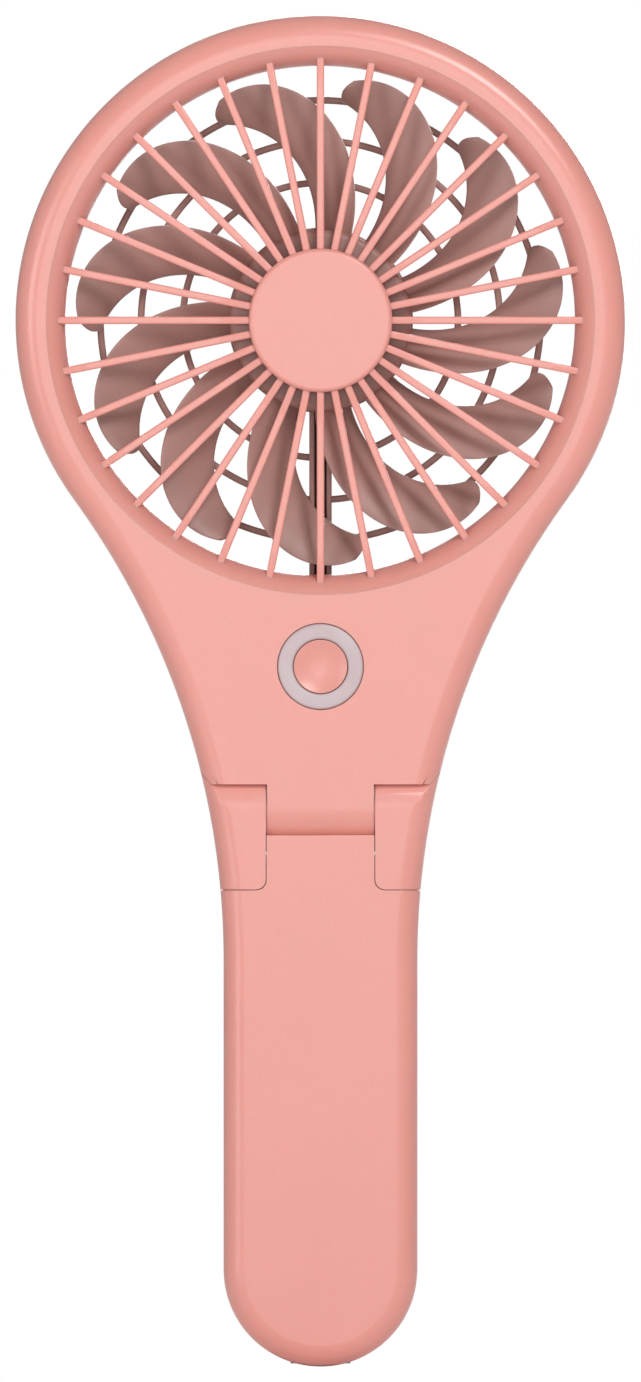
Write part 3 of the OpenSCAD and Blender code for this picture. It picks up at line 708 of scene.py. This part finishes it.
# ---- Geometry Nodes: copies of one shape, evenly round the fan axis ----
def aroundTree():
    tree = bpy.data.node_groups.new("aroundTheAxis", "GeometryNodeTree")
    sockets(tree, Shape="Geometry", Count="Int", Height="Float", Start="Float", Finish="Material")
    add, link = tree.nodes.new, tree.links.new
    given, result = add("NodeGroupInput"), add("NodeGroupOutput")
    line, index = add("GeometryNodeMeshLine"), add("GeometryNodeInputIndex")
    turn, lift = add("ShaderNodeCombineXYZ"), add("ShaderNodeCombineXYZ")
    line.inputs["Offset"].default_value = (0, 0, 0)
    copies, whole = add("GeometryNodeInstanceOnPoints"), add("GeometryNodeRealizeInstances")
    moved, coat = add("GeometryNodeTransform"), add("GeometryNodeSetMaterial")
    link(given.outputs["Count"], line.inputs["Count"])
    pitch = 2 * math.pi / Wire(tree, given.outputs["Count"])
    angle = Wire(tree, index.outputs[0]) * pitch + Wire(tree, given.outputs["Start"])
    link(angle.socket, turn.inputs["Y"])
    link(line.outputs[0], copies.inputs["Points"])
    link(given.outputs["Shape"], copies.inputs["Instance"])
    link(turn.outputs[0], copies.inputs["Rotation"])
    link(given.outputs["Height"], lift.inputs["Z"])
    link(copies.outputs[0], moved.inputs["Geometry"])
    link(lift.outputs[0], moved.inputs["Translation"])
    link(moved.outputs[0], whole.inputs[0])
    link(whole.outputs[0], coat.inputs["Geometry"])
    link(given.outputs["Finish"], coat.inputs["Material"])
    link(coat.outputs[0], result.inputs[0])
    return tree


# ---- Geometry Nodes: copies of one shape, one on every point ----
def spreadTree():
    tree = bpy.data.node_groups.new("spreadOnPoints", "GeometryNodeTree")
    sockets(tree, Places="Geometry", Copied="Object", Finish="Material")
    add, link = tree.nodes.new, tree.links.new
    given, result, source = add("NodeGroupInput"), add("NodeGroupOutput"), add("GeometryNodeObjectInfo")
    copies, whole, coat = (add("GeometryNodeInstanceOnPoints"), add("GeometryNodeRealizeInstances"),
                           add("GeometryNodeSetMaterial"))
    link(given.outputs["Places"], copies.inputs["Points"])
    link(given.outputs["Copied"], source.inputs["Object"])
    link(source.outputs["Geometry"], copies.inputs["Instance"])
    link(copies.outputs[0], whole.inputs[0])
    link(whole.outputs[0], coat.inputs["Geometry"])
    link(given.outputs["Finish"], coat.inputs["Material"])
    link(coat.outputs[0], result.inputs[0])
    return tree


def grown(piece, tree, **values):  # runs a tree on a piece and keeps the result as a plain mesh
    modifier = piece.modifiers.new("grow", "NODES")
    modifier.node_group = tree
    for item in tree.interface.items_tree:
        if item.in_out == "INPUT" and item.name in values:
            modifier[item.identifier] = values[item.name]
    return plain(piece)


ringOfCopies, copiesOnPoints = aroundTree(), spreadTree()


def roundAxis(shape, count, finish, start=0.0):
    return grown(shape, ringOfCopies, Count=count, Height=fanZ, Start=start, Finish=finish)


# ---- front grille: sloped ring, straight spokes and the boss behind the cap ----
grille = dict(
    spokes=32, width=1.2, edge=0.3, throat=40.7, low=0.9, lip=1.3, boss=(10.4, 4.7, 6.5),
    crown=(44.04, 7.19), slope=(47.08, 1.58, 6.4), capEdge=0.7,  # the slope is an arc: its centre and radius
    front=[(9, 6.5), (11.6, 6.4), (16, 5.9), (38.2, 5.9), (42.9, 5.35)],
    back=[(9, 4.7), (11.6, 4.7), (16, 4.3), (38.4, 4.3), (40.4, 4.0), (42.9, 3.7)],
)


def barSection(half, low, high, r):  # across a bar: (sideways, forward), its front corners rounder
    return rounded([(-half, low), (half, low), (half, high), (-half, high)], [r * 0.5, r * 0.5, r, r], 4)


def bar(stations, width, r):  # a bar that runs out along +X, its level and depth given at each station
    rings = [barSection(width / 2, low, high, r) for x, low, high in stations]
    verts = [(x, -f, s) for (x, low, high), ring in zip(stations, rings) for s, f in ring]
    return solid(verts, tubeFaces(len(rings), len(rings[0])))


def softened(points, steps=4):  # a polyline with its corners turned into curves
    made = [points[0]]
    for k in range(1, len(points) - 1):
        a, p, b = Vector(points[k - 1]), Vector(points[k]), Vector(points[k + 1])
        reach = 0.45 * min((a - p).length, (b - p).length, 1.6)
        first, last = p + (a - p).normalized() * reach, p + (b - p).normalized() * reach
        for s in range(steps + 1):
            t = s / steps
            made.append(tuple(first * (1 - t) ** 2 + 2 * p * t * (1 - t) + last * t * t))
    return made + [points[-1]]


def levelAt(line, x):
    return float(np.interp(x, [p[0] for p in line], [p[1] for p in line]))


def makeGrille():
    front, back = softened(grille["front"]), softened(grille["back"])
    reach = sorted({round(x, 4) for x, f in front + back})
    spoke = bar([(x, levelAt(back, x), levelAt(front, x)) for x in reach], grille["width"], grille["edge"])
    spokes = roundAxis(spoke, grille["spokes"], finishes["body_pink"])
    throat, low, (x, f, r) = grille["throat"], grille["low"], grille["slope"]
    slope = arc(x, f, r, math.radians(120), math.radians(177), 20)
    out = throat + grille["lip"]
    under = rounded([(throat, low), (out, low), (out, 2.4), (grille["crown"][0], 5.2)], [0.3, 0.2, 0.2, 0])
    ring = lathe([grille["crown"]] + slope + under, fanZ, 320)
    r, back, front = grille["boss"]
    boss = lathe(rounded([(0, back), (r, back), (r, front), (0, front)], [0, 0.3, 0.1, 0]), fanZ, 96)
    whole = gathered([spokes, ring, boss])
    return finished(whole, "frontGrille", "head", "body_pink", ["front_grille"], merge=0.001)


def makeCap():
    r = grille["capEdge"]
    edge = arc(capR - r, halfDeep - r, r, math.pi / 2, 0, 10)
    cap = lathe([(0, grille["boss"][2]), (0, halfDeep)] + edge, fanZ, 256)
    return finished(cap, "grilleCap", "head", "body_pink", ["grille_cap"], merge=0.001)


makeGrille()
makeCap()


# ---- rear guard: rings, ribs, the wire channel and the motor cup ----
guard = dict(
    outer=(40.9, 42.3, -7.0, -4.4),  # radii and levels of the ring that holds it
    rings=(22, 28.7, 35.2), ringWide=1.1, thick=1.6, ribs=16, ribWide=0.9,
    start=14.0, end=41.6, edge=0.35,
    channel=(1.8, -7.6, -4.2), channelIn=(0.95, -6.6, -3.0), channelTop=11.5,  # half width and levels
    cup=(14.8, 1.4, -9.6, -8.0, -4.5, 1.2),  # radius, wall, back, floor, front and corner
    tube=(3.5, 2.5, -9.4, -8.9, 0.6),  # radius, bore, back, floor and front
)


def guardLevel(r):
    return -7.9 + 1.5 * (r / 42) ** 2


def makeGuard():
    g = guard
    r0, r1, low, high = g["outer"]
    parts = [lathe(rounded([(r0, low), (r1, low), (r1, high), (r0, high)], 0.4), fanZ, 256)]
    for r in g["rings"]:
        w, t, f = g["ringWide"] / 2, g["thick"] / 2, guardLevel(r)
        ring = [(r - w, f - t), (r + w, f - t), (r + w, f + t), (r - w, f + t)]
        parts += [lathe(rounded(ring, g["edge"], 4), fanZ, 192)]
    stations = [g["start"] + (g["end"] - g["start"]) * k / 16 for k in range(17)]
    rib = bar([(x, guardLevel(x) - g["thick"] / 2, guardLevel(x) + g["thick"] / 2) for x in stations],
              g["ribWide"], g["edge"])
    parts += [roundAxis(rib, g["ribs"], finishes["rotor_rose"])]
    half, low, high = g["channel"]
    inHalf, inLow, inHigh = g["channelIn"]
    section = [(-half, low), (half, low), (half, high), (inHalf, high), (inHalf, inLow), (-inHalf, inLow),
               (-inHalf, high), (-half, high)]
    section = rounded(section, [0.5, 0.5, 0.25, 0.2, 0.3, 0.3, 0.2, 0.25], 4)
    levels = (fanZ - g["end"], fanZ - g["channelTop"])
    strut = solid([(x, -f, z) for z in levels for x, f in section], tubeFaces(2, len(section)))
    r, wall, back, floor, front, turn = g["cup"]
    tubeR, bore, tubeBack, tubeFloor, tubeFront = g["tube"]
    cup = lathe(rounded([(tubeR - 0.5, back), (r, back), (r, front), (r - wall, front), (r - wall, floor),
                         (tubeR - 0.5, floor)], [0.0, turn, 0.3, 0.3, 0.3, 0.0], 6), fanZ, 192)
    cup = carved(cup, block((-inHalf, -inHigh, fanZ - 16), (inHalf, -inLow, fanZ - 11)))
    tube = lathe(rounded([(bore, tubeFloor), (tubeR, tubeBack), (tubeR, tubeFront), (bore, tubeFront)],
                         [0, 0, 0.2, 0.2]), fanZ, 64)
    plate = [(0, back + 0.01), (tubeR, back + 0.01), (tubeR, tubeFloor), (0, tubeFloor)]
    whole = gathered(parts + [strut, cup, tube, lathe(plate, fanZ, 64)])
    # the guard takes the rotor's darker rose, painted shade for the shadow inside the fan ring
    return finished(whole, "rearGuard", "head", "rotor_rose", ["rear_grille"], merge=0.001)


makeGuard()


# ---- rotor: hub and eleven swept blades ----
rotor = dict(
    blades=11, hub=(14.5, 3.4, 2.0, -3.9),  # the hub's radius, front, the front's underside and its open end
    wall=1.5, boss=(2.4, 0.9), bore=(1.0, 2.8), rows=48, cols=18,
    thick=1.1, bulge=0.9, tipFrom=0.93, fadeFrom=0.975,  # the last two are shares of the way from hub to tip
    level=-0.35, pitch=(2.9, 1.1), camber=0.55, nose=0.62, flank=0.30,
    # control points of the blade's two edges: radius, and degrees round from the top
    leading=[(13.6, 29), (19.9, 32.8), (31.3, 20.6), (35, 5.8)],
    trailing=[(13.6, 53), (18, 52), (43.5, 31.7), (38.7, 8)],
)


def bezier(points, t):
    a, b, c, d = (np.array(p, float)[:, None] for p in points)
    return a * (1 - t) ** 3 + 3 * b * (1 - t) ** 2 * t + 3 * c * (1 - t) * t**2 + d * t**3


def makeRotor():
    rows, cols = rotor["rows"], rotor["cols"]
    tipFrom, fadeFrom, (pitch, untwist) = rotor["tipFrom"], rotor["fadeFrom"], rotor["pitch"]
    # from hub to tip, closer together where the end turns over; then once round the section
    tipRun = tipFrom + (1 - tipFrom) * np.sin(np.linspace(0, math.pi / 2, 9))[1:]
    run = np.concatenate([np.linspace(0, tipFrom, rows), tipRun])
    loop = np.linspace(0, 2 * math.pi, 2 * cols, endpoint=False)
    cos, sin = np.cos(loop), np.sin(loop)
    v = 0.5 - 0.5 * np.sign(cos) * np.abs(cos) ** rotor["nose"]
    side = np.sign(sin) * np.abs(sin) ** rotor["flank"]
    lead, trail = bezier(rotor["leading"], run), bezier(rotor["trailing"], run)
    u, v = run[:, None], v[None, :]
    thin = np.sqrt(np.clip(1 - (np.clip(u - fadeFrom, 0, 1) / (1 - fadeFrom)) ** 2, 0, 1))
    thin[0] = 0
    tip = rotor["bulge"] * np.sin(math.pi * v) * np.clip(u - tipFrom, 0, 1) / (1 - tipFrom)
    r = lead[0][:, None] + (trail[0] - lead[0])[:, None] * v
    angle = np.radians(lead[1][:, None] + (trail[1] - lead[1])[:, None] * v) - tip / r
    level = rotor["level"] + (pitch - untwist * u) * (2 * v - 1) + rotor["camber"] * np.sin(math.pi * v)
    level = level + side[None, :] * thin * rotor["thick"] / 2
    verts = np.stack([r * np.sin(angle), -level, r * np.cos(angle)], -1).reshape(-1, 3)
    n, m = len(loop), len(run)
    faces = [(i * n + j, i * n + (j + 1) % n, (i + 1) * n + (j + 1) % n, (i + 1) * n + j)
             for i in range(m - 1) for j in range(n)]
    half = n // 2
    for i in (0, m - 1):  # the two ends are flat: both sides of the section meet
        s = i * n
        faces += [(s + j, s + j + 1, s + (n - j - 1) % n, s + (n - j) % n) for j in range(half)]
    blade = solid(verts.tolist(), faces)
    blades = roundAxis(blade, rotor["blades"], finishes["rotor_rose"])
    r, top, under, low = rotor["hub"]
    w, (bossR, bossLow), (bore, boreTop) = rotor["wall"], rotor["boss"], rotor["bore"]
    section = [(0, top), (r, top), (r, low), (r - w, low), (r - w, under), (bossR, under), (bossR, bossLow),
               (bore, bossLow), (bore, boreTop), (0, boreTop)]
    hub = lathe(rounded(section, [0, 1.0, 0.3, 0.3, 0.4, 0.2, 0.2, 0.1, 0, 0], 6), fanZ, 192)
    whole = gathered([blades, hub])
    return finished(whole, "fanRotor", "rotor", "rotor_rose", ["fan_rotor"], merge=0.001)


makeRotor()
print("fan made")


# ---- button and its light ring ----
lens = dict(bore=4.4, flange=0.8, back=5, ledge=5.55)
button = dict(r=4.3, dish=14.0, low=6.3, skirt=0.8, skirtFront=4.8, skirtBack=4.3, stem=1.5, stemBack=3.9)


def makeLightRing():
    inner, wide, back, ledge = lens["bore"], ringHigh.x, lens["back"], lens["ledge"]
    outer = wide - lens["flange"]
    section = [(inner, back), (wide, back), (wide, ledge), (outer, ledge), (outer, halfDeep),
               (inner, halfDeep)]
    ring = lathe(rounded(section, [0.05, 0.1, 0.1, 0.1, 0.55, 0.45], 8), buttonZ, 192)
    return finished(ring, "lightRing", "head", "light_ring", ["light_ring"], merge=0.001)


def makeButton():
    r, dish, steps = button["r"], button["dish"], 14
    middle = button["low"] + dish
    bowl = [(r * k / steps, middle - math.sqrt(dish**2 - (r * k / steps) ** 2)) for k in range(steps)]
    rim, skirt = (r, middle - math.sqrt(dish**2 - r**2)), r + button["skirt"]
    front, back, stem, low = button["skirtFront"], button["skirtBack"], button["stem"], button["stemBack"]
    side = [bowl[-1], rim, (r, front), (skirt, front), (skirt, back), (stem, back), (stem, low), (0, low)]
    side = rounded(side, [0, 0.22, 0.1, 0.1, 0.1, 0.1, 0.1, 0], 6)
    turned = lathe(bowl + side[1:], buttonZ, 128)
    return finished(turned, "powerButton", "button", "body_pink", ["power_button"], merge=0.001)


makeLightRing()
makeButton()


# ---- screws, seen from behind ----
def makeScrews(places, name, body, node):
    s = screw
    back = -s["seat"] - s["headDeep"]
    turned = lathe(rounded([(0, back), (s["head"], back), (s["head"], -s["seat"]), (s["shank"], -s["seat"]),
                            (s["shank"], s["tip"]), (0, s["tip"])], [0, 0.35, 0.1, 0.1, 0.3, 0], 5), 0, 48)
    long, wide, deep = s["cross"]
    cross = [block((-x, -back - deep, -z), (x, -back + 1, z)) for x, z in ((long, wide), (wide, long))]
    one = carved(turned, *cross)
    points = bpy.data.meshes.new("places")
    points.from_pydata([(x, 0, z) for x, z in places], [], [])
    holder = bpy.data.objects.new(name, points)
    scene.collection.objects.link(holder)
    grown(holder, copiesOnPoints, Copied=one, Finish=finishes["steel"])
    bpy.data.objects.remove(one)
    return finished(holder, name, body, "steel", [node], merge=0.001)


makeScrews(headScrews, "headScrews", "head", "head_screws")
makeScrews(gripScrews, "gripScrews", "handle", "handle_screws")


# ---- CAD nodes that are shown as they are ----
keptNodes = {
    "steel": ["left_hinge_pin", "right_hinge_pin", "hinge_washers", "usb_socket", "stator_core",
              "board_screws", "motor_shaft", "rotor_yoke"],
    "battery_foil": ["battery_cell"],
    # the black motor lead in the guard's open channel is a real lead, and its dark jacket also stands in for
    # the shade in that channel, as painted shade
    "lead_jacket": ["battery_leads", "supply_lead", "motor_leads", "control_lead"],
    "circuit_board": ["charge_board", "driver_board", "control_board"],
    "bronze": ["sleeve_bearing"],
    "copper_wire": ["stator_coils"],
    "led_lens": ["led_chips"],
    "switch_black": ["switch_body"],
    "magnet": ["magnet_ring"],
    "clip_nylon": ["shaft_clip", "switch_plunger"],
}
for slotName, nodeNames in keptNodes.items():
    for nodeName in nodeNames:
        node = frame["nodes"][nodeName]
        node.data.materials.clear()
        node.data.materials.append(finishes[slotName])
print("inner parts finished")


# ---- floor, light and camera ----
studio = dict(
    frameHigh=0.22112, lookZ=0.06309, distance=1.2,
    key=dict(at=(0.52, -1.28, 0.93), size=0.5, watts=11.0),
    fill=dict(at=(-0.75, -0.9, 0.22), size=0.45, watts=2.8),
    front=dict(at=(0.0, -1.3, 0.2), size=0.4, watts=1.9),
    rear=dict(at=(0.25, 1.3, 0.4), size=0.7, watts=9.0),
    backdrop=1.0, ambient=0.35,
)


def softLight(name, at, size, watts):
    lamp = bpy.data.lights.new(name, "AREA")
    lamp.shape, lamp.size, lamp.energy = "DISK", size, watts
    holder = bpy.data.objects.new(name, lamp)
    holder.location = at
    holder.rotation_euler = (Vector((0, 0, 0.08)) - Vector(at)).to_track_quat("-Z", "Y").to_euler()
    scene.collection.objects.link(holder)


for lampName in ("key", "fill", "front", "rear"):
    softLight(lampName, **studio[lampName])

floorMesh = bpy.data.meshes.new("floor")
floorZ = tipZ * mm - 0.0002
floorMesh.from_pydata([(x, y, floorZ) for x, y in ((-3, -3), (3, -3), (3, 3), (-3, 3))], [], [(0, 1, 2, 3)])
floor = bpy.data.objects.new("floor", floorMesh)
scene.collection.objects.link(floor)
paleFloor = Finish("paleFloor", Roughness=0.8, Base_Color=(0.9, 0.9, 0.9, 1))
floorMesh.materials.append(paleFloor.material)

world = bpy.data.worlds.new("studioWorld")
world.use_nodes = True
world.node_tree.nodes["Background"].inputs["Color"].default_value = (1, 1, 1, 1)
lightPath = world.node_tree.nodes.new("ShaderNodeLightPath")
# the white backdrop is brighter than the room's light
seen = Wire(world.node_tree, lightPath.outputs["Is Camera Ray"])
strength = seen * (studio["backdrop"] - studio["ambient"]) + studio["ambient"]
world.node_tree.links.new(strength.socket, world.node_tree.nodes["Background"].inputs["Strength"])
scene.world = world
scene.view_settings.view_transform = "Standard"

camera = bpy.data.objects.new("camera", bpy.data.cameras.new("camera"))
camera.data.type = "ORTHO"
camera.data.ortho_scale = studio["frameHigh"]
camera.location = (0, -studio["distance"], studio["lookZ"])
camera.rotation_euler = (math.pi / 2, 0, 0)
camera.data.clip_start, camera.data.clip_end = 0.01, 20
scene.collection.objects.link(camera)
scene.camera = camera
print("studio set")
